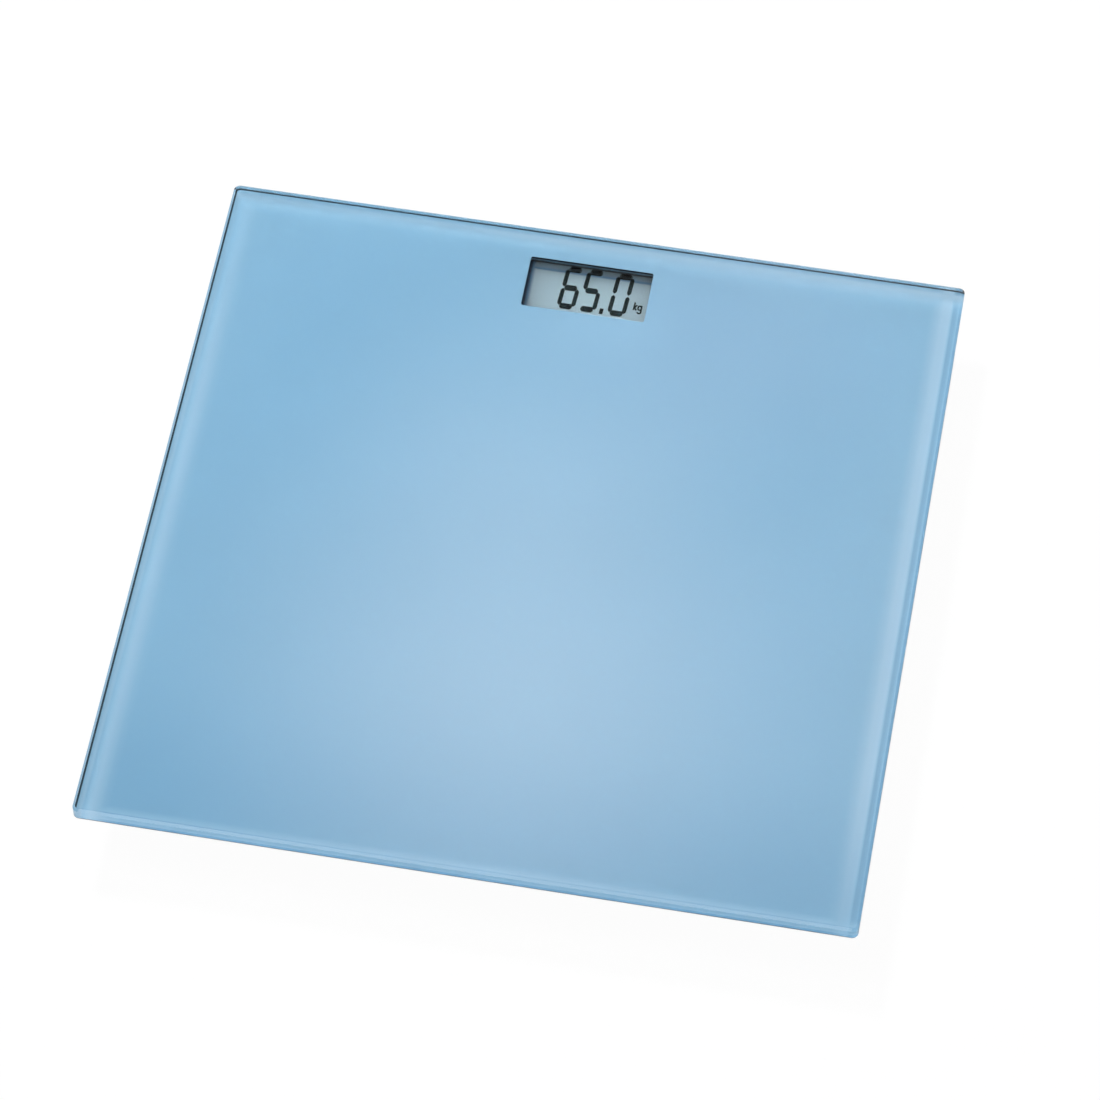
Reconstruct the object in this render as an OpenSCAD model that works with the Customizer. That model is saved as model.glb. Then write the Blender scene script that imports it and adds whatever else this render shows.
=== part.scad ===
// Electronic personal scale: a glass platform on four load-cell feet, with the display,
// the electronics and the battery in a slim tray bonded under its rear edge.
// Origin: centre of the footprint on the floor. +Z up, +Y towards the display edge.

/* [Platform] */
// Width and depth of the square glass platform
plate_side = 300; // [296:1:320]
// Thickness of the glass
glass_t = 6; // [5:0.5:8]
// Radius of the platform's four corners
corner_r = 2.5; // [2:0.5:12]
// Ground chamfer along the upper rim of the glass
upper_chamfer = 1; // [0.5:0.1:1.5]
// Ground arris along the lower rim of the glass
lower_arris = 0.3; // [0.2:0.1:1]
// Height of the platform's top above the floor
overall_h = 22; // [22:0.5:26]

/* [Display] */
// Width of the clear window left in the colour film
window_w = 50.2; // [44:0.2:51]
// Depth of the window, front to back
window_d = 24.5; // [20:0.1:25]
// Corner radius of the window
window_r = 1; // [0.4:0.1:3]
// Distance from the platform's rear edge to the window's rear edge
window_setback = 12.6; // [12.4:0.1:15]
// Depth of the display's face below the colour film
display_depth = 2.4; // [2:0.1:2.4]
// Height of the figures, between their level bars' centre lines
digit_h = 18.4; // [14:0.2:19]
// Width of a figure, between its upright bars' centre lines
digit_w = 5.8; // [5:0.1:6]
// Width of the figures' upright bars
upright_w = 1.7; // [1:0.1:1.8]
// Height of the figures' level bars
level_h = 2.7; // [1.4:0.1:2.8]
// Lean of the figures to the right, in degrees
digit_lean = 3.1; // [0:0.1:6]

/* [Feet] */
// Distance from a foot's centre to the platform's two nearest edges
foot_inset = 36; // [34:1:40]
// Outer radius of a foot's shell
shell_r = 28; // [28:0.5:30]
// Radius of the rubber pad
pad_r = 23.2; // [20:0.1:23.4]
// How far a foot can rise into its shell
foot_travel = 0.5; // [0.2:0.1:0.6]
// Side of the square load cell
cell_side = 34; // [32:0.5:34]
// Thickness of the load cell's steel
cell_t = 2.8; // [2:0.1:2.9]

/* [Electronics tray] */
// Width of the tray over its walls
tray_w = 148; // [146:1:150]
// Depth of the tray, front to back, over its walls
tray_d = 62; // [62:0.5:64]
// Height of the tray, without its foam gasket
tray_h = 11.45; // [11.45:0.05:12]
// Wall thickness of the tray and of the other housings
wall_t = 1.8; // [1.4:0.1:2]
// How far the unit button goes in
button_travel = 0.4; // [0.2:0.05:0.4]

/* [Hidden] */
$fn = 48;
eps = 0.01;
// Clearance between two pieces that move past each other
gap = 0.3;

// Levels, from the glass down
glass_z = overall_h - glass_t;
film_t = 0.15;
film_z = glass_z - film_t;
tape_t = 0.8;
tape_z = film_z - tape_t;

// Display stack, from its face down
lcd_face_z = film_z - display_depth;
polarizer_t = 0.2;
lcd_glass_t = 0.8;
liquid_t = 0.1;
reflector_t = 0.2;
front_glass_z = lcd_face_z - polarizer_t - lcd_glass_t;
liquid_z = front_glass_z - liquid_t;
rear_glass_z = liquid_z - lcd_glass_t;
reflector_z = rear_glass_z - reflector_t;
lcd_tape_t = 1;
board_top_z = reflector_z - lcd_tape_t;
board_t = 1.2;
board_z = board_top_z - board_t;

window_y = plate_side / 2 - window_setback - window_d / 2;
lcd_w = 58;
lcd_front_y = window_y - 18.2;
lcd_rear_y = window_y + 13.8;
lcd_ledge_d = 5;
polarizer_margin = 1.3;
bezel_w = 63;
bezel_r = 2;
bezel_front_y = window_y - 21;
bezel_rear_y = window_y + 16.5;
opening_margin = 0.3;

// Figures: [segments, x of the figure's centre]; segments run a to g, clockwise from the top,
// then the middle bar
digit_y = window_y + 1.95;
SIX = [1, 0, 1, 1, 1, 1, 1];
FIVE = [1, 0, 1, 1, 0, 1, 1];
ZERO = [1, 1, 1, 1, 1, 1, 0];
DIGITS = [[SIX, -7.15], [FIVE, 1.45], [ZERO, 13.5]];
bar_gap = 0.35;
point_x = 7.4;
point_w = 1.5;
point_cut = 0.1;
unit_x = 19.2;
unit_rise = 2.9;
unit_h = 3.8;
unit_stroke = 0.62;

// Tray
tray_y = 113;
tray_z = tape_z - tray_h;
tray_floor_t = wall_t;
tray_floor_z = tray_z + tray_floor_t;
tray_r = 5;
flange_w = 3;
flange_t = 1.4;

rail_side = 2.2;

// Board
board_x0 = -36.5;
board_x1 = 66;
board_y0 = 88;
board_y1 = 141;
screw_head_r = 1.8;
screw_head_h = 1.1;
screw_r = 0.8;
screw_l = 5.2;
boss_r = 2.4;
BOARD_SCREWS = [[-30, 93], [61, 93], [61, 136], [-34, 136]];

// Controller chip
chip_x = 46;
chip_y = 118;

// Coin cell and its door
cell_r = 10;
cell_h = 3.2;
battery_x = -53;
battery_y = 98.5;
pocket_r = 10.4;
door_w = 25.6;
door_d = 30.4;
door_t = 1.8;
door_y0 = tray_y - tray_d / 2;
tongue_w = 1;
tongue_t = 0.7;
recess_top_z = tray_z + door_t + gap;
coin_z = recess_top_z + gap;
contact_t = 0.3;
contact_w = 5;
contact_end_x = board_x0 + 4;
rail_top_z = recess_top_z + 1.2;

// Unit button and its switch
button_x = 50;
button_y = 98.5;
button_r = 4.5;
switch_side = 6;
switch_corner_r = 0.6;
switch_h = 1.6;
switch_z = board_z - switch_h;
plunger_r = 1.7;
plunger_out = 0.5;
plunger_in = 0.7;

// Feet
foot_xy = plate_side / 2 - foot_inset;
shell_h = 10.45;
shell_z = tape_z - shell_h;
plate_t = 1.4;
shell_plate_z = tape_z - plate_t;
shell_in_r = shell_r - wall_t;
foot_flange_r = shell_r + flange_w;
lip_w = 1;
lip_h = 1;
cell_top_z = shell_plate_z - 2;
cell_z = cell_top_z - cell_t;
cap_r = shell_in_r - lip_w - 0.4;
cap_skirt_t = 1.6;
cap_z = 2;
cap_top_z = shell_z - 0.4;
pad_seat = 0.6;
boss_top_z = cell_z - foot_travel - gap;
gauge_l = 9;
gauge_w = 7;
gauge_t = 0.4;
gauge_r = 1.5;
cell_corner_r = 2;

// Wires and their ducts
wire_r = 0.45;
wire_pitch = 1.5;
wire_z = cell_top_z + gauge_t + 0.9;
wire_bend = wire_z - cell_top_z - gauge_t;
solder_h = 0.5;
solder_r = 0.72;
duct_in_w = 6.6;
duct_wall = 1.2;
duct_flange_w = 3.4;
wire_drop = 2.05;
duct_z = wire_z - wire_drop;
slot_z = duct_z + duct_wall;
front_pad_x = 24;
front_pad_y = 92;
rear_pad_x_right = 62.5;
rear_pad_x_left = -34;

// Each corner: name, side (-1 left, 1 right), end (-1 front, 1 rear), the place on the board
// where its wires are soldered
CORNERS = [
    ["front_left", -1, -1, [-front_pad_x, front_pad_y]],
    ["front_right", 1, -1, [front_pad_x, front_pad_y]],
    ["rear_left", -1, 1, [rear_pad_x_left, foot_xy]],
    ["rear_right", 1, 1, [rear_pad_x_right, foot_xy]]
];

function foot_at(c) = [c[1] * foot_xy, c[2] * foot_xy];
function run_of(c) = c[3] - foot_at(c);
function heading(c) = atan2(run_of(c)[1], run_of(c)[0]);
function run_length(c) = norm(run_of(c));

PLATFORM_NODES = ["glass_platform", "colour_film"];
DISPLAY_NODES = [
    "lcd_bezel", "lcd_polarizer", "lcd_front_glass", "lcd_segments", "lcd_seal",
    "lcd_rear_glass", "lcd_reflector", "lcd_tape", "zebra_connector"
];
TRAY_NODES = [
    "module_housing", "module_gasket", "circuit_board", "board_screws", "controller_blob",
    "board_capacitors", "board_resistors", "solder_joints", "tact_switch", "switch_plunger",
    "unit_button", "battery_cell", "battery_contact_minus", "battery_contact_plus", "battery_door"
];
CORNER_PARTS = [
    "foot_shell", "load_cell", "strain_gauge", "foot_cap", "foot_pad", "sensor_wires", "wire_duct"
];
CORNER_NODES = [for (p = CORNER_PARTS) for (c = CORNERS) str(p, "_", c[0])];
TAPE_NODES = ["foot_tapes", "duct_tapes"];

// ---- shared shapes ----

// Flat rounded rectangle centred on the origin
module rounded_rect(w, d, r) {
    union() {
        square([w - 2 * r, d], center = true);
        square([w, d - 2 * r], center = true);
        for (x = [-1, 1])
            for (y = [-1, 1])
                translate([x * (w / 2 - r), y * (d / 2 - r)])
                    circle(r);
    }
}

module rounded_slab(w, d, h, r) {
    linear_extrude(h)
        rounded_rect(w, d, r);
}

// Box between two corners
module block(low, high) {
    translate(low)
        cube(high - low);
}

// Rounded frame: an outer slab with a rounded opening
module rounded_frame(w, d, h, r, in_w, in_d, in_r) {
    linear_extrude(h)
        difference() {
            rounded_rect(w, d, r);
            rounded_rect(in_w, in_d, in_r);
        }
}

// Layer of a rounded plate whose outline draws in by c over the height c
module chamfer_layer(w, d, r, c) {
    for (turn = [0, 1]) {
        across = turn == 0 ? d : w;
        along = turn == 0 ? w : d;
        rotate([0, 0, 90 * turn])
            translate([-(along / 2 - r), 0, 0])
                rotate([90, 0, 90])
                    linear_extrude(along - 2 * r)
                        polygon([
                            [-across / 2, 0], [across / 2, 0],
                            [across / 2 - c, c], [-across / 2 + c, c]
                        ]);
    }
    for (x = [-1, 1])
        for (y = [-1, 1])
            translate([x * (w / 2 - r), y * (d / 2 - r), 0])
                cylinder(h = c, r1 = r, r2 = r - c);
}

// Rounded plate with both rims chamfered
module chamfered_plate(w, d, h, r, upper, lower) {
    union() {
        translate([0, 0, lower])
            rounded_slab(w, d, h - upper - lower, r);
        translate([0, 0, h - upper])
            chamfer_layer(w, d, r, upper);
        translate([0, 0, lower])
            mirror([0, 0, 1])
                chamfer_layer(w, d, r, lower);
    }
}

// Places its children at a corner's foot centre
module at_foot(c) {
    translate([foot_at(c)[0], foot_at(c)[1], 0])
        children();
}

// Places its children at a corner's foot centre, with X along that corner's wires
module along_wires(c) {
    at_foot(c)
        rotate([0, 0, heading(c)])
            children();
}

// ---- platform ----

module glass_platform() {
    color("lightcyan", 0.4)
        translate([0, 0, glass_z])
            chamfered_plate(plate_side, plate_side, glass_t, corner_r, upper_chamfer, lower_arris);
}

module colour_film() {
    film_side = plate_side - 2 * lower_arris;
    color("skyblue")
        translate([0, 0, film_z])
            linear_extrude(film_t)
                difference() {
                    rounded_rect(film_side, film_side, corner_r - lower_arris);
                    translate([0, window_y])
                        rounded_rect(window_w, window_d, window_r);
                }
}

// ---- display ----

module lcd_bezel() {
    opening_w = window_w + 2 * opening_margin;
    opening_d = window_d + 2 * opening_margin;
    depth = bezel_rear_y - bezel_front_y;
    centre_y = (bezel_rear_y + bezel_front_y) / 2;
    color("dimgray")
        difference() {
            translate([0, centre_y, board_top_z])
                rounded_slab(bezel_w, depth, film_z - board_top_z, bezel_r);
            translate([0, window_y, board_top_z])
                rounded_slab(opening_w, opening_d, film_z - board_top_z + 1, window_r);
            block(
                [-lcd_w / 2 - gap, lcd_front_y - gap, board_top_z - 1],
                [lcd_w / 2 + gap, lcd_rear_y + gap, lcd_face_z]
            );
        }
}

module lcd_polarizer() {
    half_w = window_w / 2 + polarizer_margin;
    half_d = window_d / 2 + polarizer_margin;
    color("lightgray", 0.6)
        block(
            [-half_w, window_y - half_d, lcd_face_z - polarizer_t],
            [half_w, window_y + half_d, lcd_face_z]
        );
}

module lcd_front_glass() {
    color("azure", 0.5)
        block(
            [-lcd_w / 2, lcd_front_y, front_glass_z],
            [lcd_w / 2, lcd_rear_y, lcd_face_z - polarizer_t]
        );
}

// Point moved to the right by the lean, in proportion to its height over the figure's centre
function lean(p) = [p[0] + p[1] * tan(digit_lean), p[1]];

// Bar of a figure: an outline with all four corners cut, leaning with the figure
module bar(low, high, cut_x, cut_y) {
    polygon([for (p = [
        [low[0] + cut_x, low[1]], [high[0] - cut_x, low[1]], [high[0], low[1] + cut_y],
        [high[0], high[1] - cut_y], [high[0] - cut_x, high[1]], [low[0] + cut_x, high[1]],
        [low[0], high[1] - cut_y], [low[0], low[1] + cut_y]
    ]) lean(p)]);
}

// Upright bar: x of its centre line, and the heights of its ends
module upright(x, low, high) {
    half = upright_w / 2;
    end_cut = 0.9;
    bar([x - half, low], [x + half, high], half * 0.8, end_cut);
}

// Level bar at height y
module level(y) {
    half = digit_w / 2 - bar_gap;
    end_cut = 0.7;
    bar([-half, y - level_h / 2], [half, y + level_h / 2], end_cut, level_h * 0.3);
}

module figure(on) {
    half = digit_h / 2;
    right = digit_w / 2;
    near = 0.45;
    far = half - 0.3;
    if (on[0]) level(half);
    if (on[1]) upright(right, near, far);
    if (on[2]) upright(right, -far, -near);
    if (on[3]) level(-half);
    if (on[4]) upright(-right, -far, -near);
    if (on[5]) upright(-right, near, far);
    if (on[6]) level(0);
}

// Straight stroke of the unit sign
module stroke(from, to, w) {
    run = to - from;
    translate(from)
        rotate(atan2(run[1], run[0]))
            translate([0, -w / 2])
                square([norm(run), w]);
}

// Small k and g, with the k's foot on the base line
module unit_sign() {
    x_height = unit_h * 0.68;
    bowl_r = x_height * 0.38;
    tail = 0.75;
    arm = 1.35;
    g_x = 2.75;
    stem = unit_stroke / 2;
    union() {
        stroke([stem, 0], [stem + 0.25, unit_h], unit_stroke);
        stroke([stem, x_height * 0.38], [arm + 0.2, x_height], unit_stroke);
        stroke([stem + 0.25, x_height * 0.55], [arm + 0.15, 0], unit_stroke);
    }
    translate([g_x, 0])
        union() {
            for (y = [x_height - bowl_r, bowl_r])
                ring_half(y, bowl_r, y > bowl_r ? 1 : -1);
            for (x = [-1, 1])
                translate([x * (bowl_r - unit_stroke / 2) - unit_stroke / 2, bowl_r])
                    square([unit_stroke, x_height - 2 * bowl_r]);
            translate([bowl_r - unit_stroke, -tail])
                square([unit_stroke, x_height + tail]);
            ring_half(-tail, bowl_r, -1);
        }
}

// Upper (up = 1) or lower (up = -1) half of a ring of the unit sign
module ring_half(y, r, up) {
    translate([0, y])
        difference() {
            circle(r);
            circle(r - unit_stroke);
            translate([-r - 1, up > 0 ? -r - 1 : 0])
                square([2 * r + 2, r + 1]);
        }
}

module lcd_segments() {
    base_y = digit_y - digit_h / 2;
    color("darkslategray")
        translate([0, 0, liquid_z])
            linear_extrude(liquid_t) {
                for (d = DIGITS)
                    translate([d[1], digit_y])
                        figure(d[0]);
                translate([point_x, digit_y])
                    bar(
                        [-point_w / 2, -digit_h / 2 - level_h / 2],
                        [point_w / 2, -digit_h / 2 + level_h / 2],
                        point_cut, point_cut
                    );
                translate([unit_x, base_y + unit_rise])
                    unit_sign();
            }
}

module lcd_seal() {
    seal_w = 1.2;
    seal_r = 0.5;
    cell_d = lcd_rear_y - lcd_front_y - lcd_ledge_d;
    centre_y = (lcd_rear_y + lcd_front_y + lcd_ledge_d) / 2;
    color("gray")
        translate([0, centre_y, liquid_z])
            rounded_frame(
                lcd_w, cell_d, liquid_t, seal_r,
                lcd_w - 2 * seal_w, cell_d - 2 * seal_w, seal_r
            );
}

module lcd_rear_glass() {
    color("azure", 0.5)
        block(
            [-lcd_w / 2, lcd_front_y + lcd_ledge_d, rear_glass_z],
            [lcd_w / 2, lcd_rear_y, liquid_z]
        );
}

module lcd_reflector() {
    color("silver")
        block(
            [-lcd_w / 2, lcd_front_y + lcd_ledge_d, reflector_z],
            [lcd_w / 2, lcd_rear_y, rear_glass_z]
        );
}

module lcd_tape() {
    edge = 2;
    color("white")
        block(
            [-lcd_w / 2 + edge, lcd_front_y + lcd_ledge_d + edge, board_top_z],
            [lcd_w / 2 - edge, lcd_rear_y - edge, reflector_z]
        );
}

module zebra_connector() {
    strip_l = 50;
    strip_d = 2.4;
    clear = 1;
    color("pink")
        block(
            [-strip_l / 2, lcd_front_y + clear, board_top_z],
            [strip_l / 2, lcd_front_y + clear + strip_d, front_glass_z]
        );
}

// ---- electronics tray ----

// Solid outline of the tray with its flange, grown by a margin: what the ducts stop at
module tray_envelope(margin) {
    translate([0, tray_y, tray_z])
        rounded_slab(tray_w + 2 * margin, tray_d + 2 * margin, tray_h, tray_r);
    translate([0, tray_y, tape_z - flange_t - margin])
        rounded_slab(
            tray_w + 2 * flange_w + 2 * margin, tray_d + 2 * flange_w + 2 * margin,
            flange_t + tape_t + 2 * margin, tray_r + flange_w
        );
}

// Recess and grooves that the battery door runs in, open at the tray's front
module door_way() {
    mid = battery_x;
    half = door_w / 2 + gap;
    tongue_half = half + tongue_w;
    groove_z = recess_top_z - gap - tongue_t - gap;
    rear_y = door_y0 + door_d + gap;
    block([mid - half, door_y0 - 1, tray_z - 1], [mid + half, rear_y, recess_top_z]);
    block(
        [mid - tongue_half, door_y0 - 1, groove_z],
        [mid + tongue_half, rear_y, recess_top_z]
    );
}

// Slot that a corner's wires pass through, in the tray's wall and in the foot's shell
module wire_slot(c) {
    along_wires(c)
        block(
            [shell_in_r - 3, -duct_in_w / 2, slot_z],
            [run_length(c) - 1, duct_in_w / 2, shell_plate_z - eps]
        );
}

// Wall around the coin cell, with a gap at its rear for the upright contact
module battery_ring() {
    gap_half = contact_w / 2 + 0.7;
    gap_y = battery_y + cell_r - 1;
    gap_depth = 5;
    difference() {
        translate([battery_x, battery_y, rail_top_z - eps])
            cylinder(h = board_top_z - rail_top_z + eps, r = pocket_r + wall_t);
        block(
            [battery_x - gap_half, gap_y, rail_top_z],
            [battery_x + gap_half, gap_y + gap_depth, board_top_z + 1]
        );
    }
}

module module_housing() {
    inner_w = tray_w - 2 * wall_t;
    inner_d = tray_d - 2 * wall_t;
    rail_half = door_w / 2 + gap + tongue_w + rail_side;
    pilot_r = 0.85;
    pilot_l = 3;
    button_gap = 0.4;
    color("whitesmoke")
        difference() {
            union() {
                difference() {
                    union() {
                        translate([0, tray_y, tray_z])
                            rounded_slab(tray_w, tray_d, tray_h, tray_r);
                        translate([0, tray_y, tape_z - flange_t])
                            rounded_slab(
                                tray_w + 2 * flange_w, tray_d + 2 * flange_w,
                                flange_t, tray_r + flange_w
                            );
                    }
                    translate([0, tray_y, tray_floor_z])
                        rounded_slab(inner_w, inner_d, tray_h, tray_r - wall_t);
                }
                block(
                    [battery_x - rail_half, door_y0 + wall_t - eps, tray_z + 1],
                    [battery_x + rail_half, door_y0 + door_d + gap + wall_t, rail_top_z]
                );
                battery_ring();
                for (s = BOARD_SCREWS)
                    translate([s[0], s[1], tray_floor_z - eps])
                        cylinder(h = board_z - tray_floor_z + eps, r = boss_r);
            }
            door_way();
            translate([battery_x, battery_y, tray_z])
                cylinder(h = tray_h, r = pocket_r);
            for (s = BOARD_SCREWS)
                translate([s[0], s[1], board_z - pilot_l])
                    cylinder(h = pilot_l + 1, r = pilot_r);
            translate([button_x, button_y, tray_z - 1])
                cylinder(h = tray_floor_t + 2, r = button_r + button_gap);
            for (c = CORNERS)
                wire_slot(c);
        }
}

module module_gasket() {
    color("dimgray")
        translate([0, tray_y, tape_z])
            rounded_frame(
                tray_w + 2 * flange_w, tray_d + 2 * flange_w, tape_t, tray_r + flange_w,
                tray_w - 2 * wall_t, tray_d - 2 * wall_t, tray_r - wall_t
            );
}

module circuit_board() {
    hole_r = 1.1;
    color("seagreen")
        difference() {
            block([board_x0, board_y0, board_z], [board_x1, board_y1, board_top_z]);
            for (s = BOARD_SCREWS)
                translate([s[0], s[1], board_z - 1])
                    cylinder(h = board_t + 2, r = hole_r);
        }
}

module board_screws() {
    slot_l = 2.4;
    slot_w = 0.5;
    slot_depth = 0.6;
    color("silver")
        for (s = BOARD_SCREWS)
            translate([s[0], s[1], board_top_z])
                difference() {
                    union() {
                        cylinder(h = screw_head_h, r = screw_head_r);
                        translate([0, 0, board_t - screw_l])
                            cylinder(h = screw_l - board_t + eps, r = screw_r);
                    }
                    for (turn = [0, 90])
                        rotate([0, 0, turn])
                            translate([-slot_l / 2, -slot_w / 2, screw_head_h - slot_depth])
                                cube([slot_l, slot_w, slot_depth + 1]);
                }
}

// Low dome of potting over the controller chip
module controller_blob() {
    blob_r = 6;
    blob_h = 1.3;
    color("black")
        translate([chip_x, chip_y, board_top_z])
            rotate_extrude()
                polygon([
                    for (a = [0:15:90]) [blob_r * cos(a), blob_h * sin(a)],
                    [0, 0]
                ]);
}

// Row of small chip parts on the board's top, beside the controller: the first place from the
// controller's centre, the step, the count and the size of each
module chip_row(start, step, count, size) {
    for (i = [0:count - 1])
        translate([chip_x + start[0] + i * step[0], chip_y + start[1] + i * step[1], board_top_z])
            translate([-size[0] / 2, -size[1] / 2, 0])
                cube(size);
}

module board_capacitors() {
    chip = [2, 1.2, 0.9];
    can_r = 2.5;
    can_h = 2;
    color("tan") {
        for (x = [-10, 10])
            chip_row([x, -10], [0, 5], 4, chip);
        translate([chip_x - 8, chip_y - 22, board_top_z])
            cylinder(h = can_h, r = can_r);
    }
}

module board_resistors() {
    chip = [1.2, 2, 0.5];
    color("black") {
        chip_row([-2, -14], [4, 0], 3, chip);
        chip_row([-4, 12], [4, 0], 4, chip);
        chip_row([-58, -25], [5, 0], 6, chip);
    }
}

module solder_joints() {
    color("silver")
        for (c = CORNERS)
            along_wires(c)
                for (i = [-1, 0, 1])
                    translate([run_length(c), i * wire_pitch, board_top_z])
                        cylinder(h = solder_h, r1 = solder_r, r2 = wire_r);
}

module tact_switch() {
    bore_r = plunger_r + gap;
    bore_h = plunger_in + button_travel + gap;
    color("dimgray")
        difference() {
            translate([button_x, button_y, switch_z])
                rounded_slab(switch_side, switch_side, switch_h, switch_corner_r);
            translate([button_x, button_y, switch_z - 1])
                cylinder(h = bore_h + 1, r = bore_r);
        }
}

module switch_plunger() {
    color("black")
        translate([button_x, button_y, switch_z - plunger_out])
            cylinder(h = plunger_out + plunger_in, r = plunger_r);
}

module unit_button() {
    proud = 0.3;
    top_z = switch_z - plunger_out;
    flange_z = tray_floor_z + gap;
    flange_h = 0.4;
    flange_out = 1.5;
    stem_r = plunger_r - 0.2;
    dish_r = 12;
    dish_depth = 0.35;
    color("slategray")
        difference() {
            union() {
                translate([button_x, button_y, tray_z - proud])
                    cylinder(h = flange_z - tray_z + proud, r = button_r);
                translate([button_x, button_y, flange_z])
                    cylinder(h = flange_h, r = button_r + flange_out);
                translate([button_x, button_y, flange_z])
                    cylinder(h = top_z - flange_z, r = stem_r);
            }
            translate([button_x, button_y, tray_z - proud - dish_r + dish_depth])
                sphere(r = dish_r, $fn = 96);
        }
}

// ---- battery ----

module battery_cell() {
    rim_r = 8.7;
    rim_h = 0.3;
    slope = 0.2;
    lower_cut = 0.5;
    upper_cut = 0.3;
    shoulder_z = cell_h - rim_h;
    color("silver")
        translate([battery_x, battery_y, coin_z])
            rotate_extrude()
                polygon([
                    [0, 0], [cell_r - lower_cut, 0], [cell_r, lower_cut],
                    [cell_r, shoulder_z - upper_cut], [cell_r - upper_cut, shoulder_z],
                    [rim_r + slope, shoulder_z], [rim_r, cell_h], [0, cell_h]
                ]);
}

module battery_contact_minus() {
    dimple_r = 1.5;
    color("gold")
        union() {
            block(
                [battery_x - contact_w / 2, battery_y - contact_w / 2, board_top_z],
                [contact_end_x, battery_y + contact_w / 2, board_top_z + contact_t]
            );
            translate([battery_x, battery_y, coin_z + cell_h])
                cylinder(h = board_top_z - coin_z - cell_h + eps, r = dimple_r);
        }
}

module battery_contact_plus() {
    tab_y = battery_y + cell_r;
    tab_w = 3;
    color("gold")
        union() {
            block(
                [battery_x - contact_w / 2, tab_y, rail_top_z],
                [battery_x + contact_w / 2, tab_y + contact_t, board_top_z + contact_t]
            );
            block(
                [battery_x - contact_w / 2, tab_y, board_top_z],
                [contact_end_x, tab_y + tab_w, board_top_z + contact_t]
            );
        }
}

module battery_door() {
    half = door_w / 2;
    groove_l = 14;
    groove_step = 2.4;
    groove_w = 1.2;
    groove_depth = 0.4;
    groove_y = door_y0 + 4;
    arrow_y = door_y0 + 20;
    arrow_half = 3;
    color("whitesmoke")
        difference() {
            union() {
                block(
                    [battery_x - half, door_y0, tray_z],
                    [battery_x + half, door_y0 + door_d, tray_z + door_t]
                );
                block(
                    [battery_x - half - tongue_w, door_y0, tray_z + door_t - tongue_t],
                    [battery_x + half + tongue_w, door_y0 + door_d, tray_z + door_t]
                );
            }
            for (i = [0:3])
                translate([battery_x - groove_l / 2, groove_y + i * groove_step, tray_z - 1])
                    cube([groove_l, groove_w, groove_depth + 1]);
            translate([battery_x, arrow_y, tray_z - 1])
                linear_extrude(groove_depth + 1)
                    polygon([
                        [-arrow_half, arrow_half / 2], [arrow_half, arrow_half / 2],
                        [0, -arrow_half]
                    ]);
        }
}

// ---- feet ----

// Solid outline of a foot's shell and flange, grown by a margin: what the ducts stop at
module shell_envelope(margin) {
    translate([0, 0, shell_z])
        cylinder(h = shell_h, r = shell_r + margin);
    translate([0, 0, shell_plate_z - margin])
        cylinder(h = plate_t + tape_t + 2 * margin, r = foot_flange_r + margin);
}

// Clip that holds the load cell up, on the side that faces along +X
module cell_clip() {
    clear = 0.2;
    hook = 0.9;
    hook_h = 0.8;
    leg_t = 1.6;
    half_w = 3;
    x0 = cell_side / 2 + clear;
    block([x0, -half_w, cell_z - hook_h], [x0 + leg_t, half_w, shell_plate_z + eps]);
    block([x0 - hook, -half_w, cell_z - hook_h], [x0 + leg_t, half_w, cell_z]);
}

module foot_shell(c) {
    post_r = 3;
    post_at = cell_side / 2 - post_r;
    color("whitesmoke")
        difference() {
            union() {
                at_foot(c) {
                    rotate_extrude()
                        polygon([
                            [0, shell_plate_z], [0, tape_z], [foot_flange_r, tape_z],
                            [foot_flange_r, shell_plate_z], [shell_r, shell_plate_z],
                            [shell_r, shell_z], [shell_in_r - lip_w, shell_z],
                            [shell_in_r - lip_w, shell_z + lip_h], [shell_in_r, shell_z + lip_h],
                            [shell_in_r, shell_plate_z]
                        ]);
                    for (x = [-1, 1])
                        for (y = [-1, 1])
                            translate([x * post_at, y * post_at, cell_top_z])
                                cylinder(h = shell_plate_z - cell_top_z + eps, r = post_r);
                }
                along_wires(c)
                    for (turn = [90, 270])
                        rotate([0, 0, turn - heading(c)])
                            cell_clip();
            }
            wire_slot(c);
        }
}

// Square steel plate cut so that a tongue is left in its middle: the tongue bends
module load_cell(c) {
    slot = 2;
    slot_r = 0.9;
    tongue = 15;
    long = cell_side - 11;
    window_at = [4.5, 1.5];
    window_size = [1.4, long - 10];
    color("lightslategray")
        at_foot(c)
            translate([0, 0, cell_z])
                linear_extrude(cell_t)
                    difference() {
                        rounded_rect(cell_side, cell_side, cell_corner_r);
                        for (x = [-1, 1])
                            translate([x * (tongue + slot) / 2, 0])
                                rounded_rect(slot, long, slot_r);
                        translate([0, (long - slot) / 2])
                            square([tongue + slot, slot], center = true);
                        for (x = [-1, 1])
                            translate([x * window_at[0], window_at[1]])
                                rounded_rect(window_size[0], window_size[1], window_size[0] * 0.4);
                    }
}

module strain_gauge(c) {
    color("white")
        along_wires(c)
            translate([0, 0, cell_top_z])
                rounded_slab(gauge_l, gauge_w, gauge_t, gauge_r);
}

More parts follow.
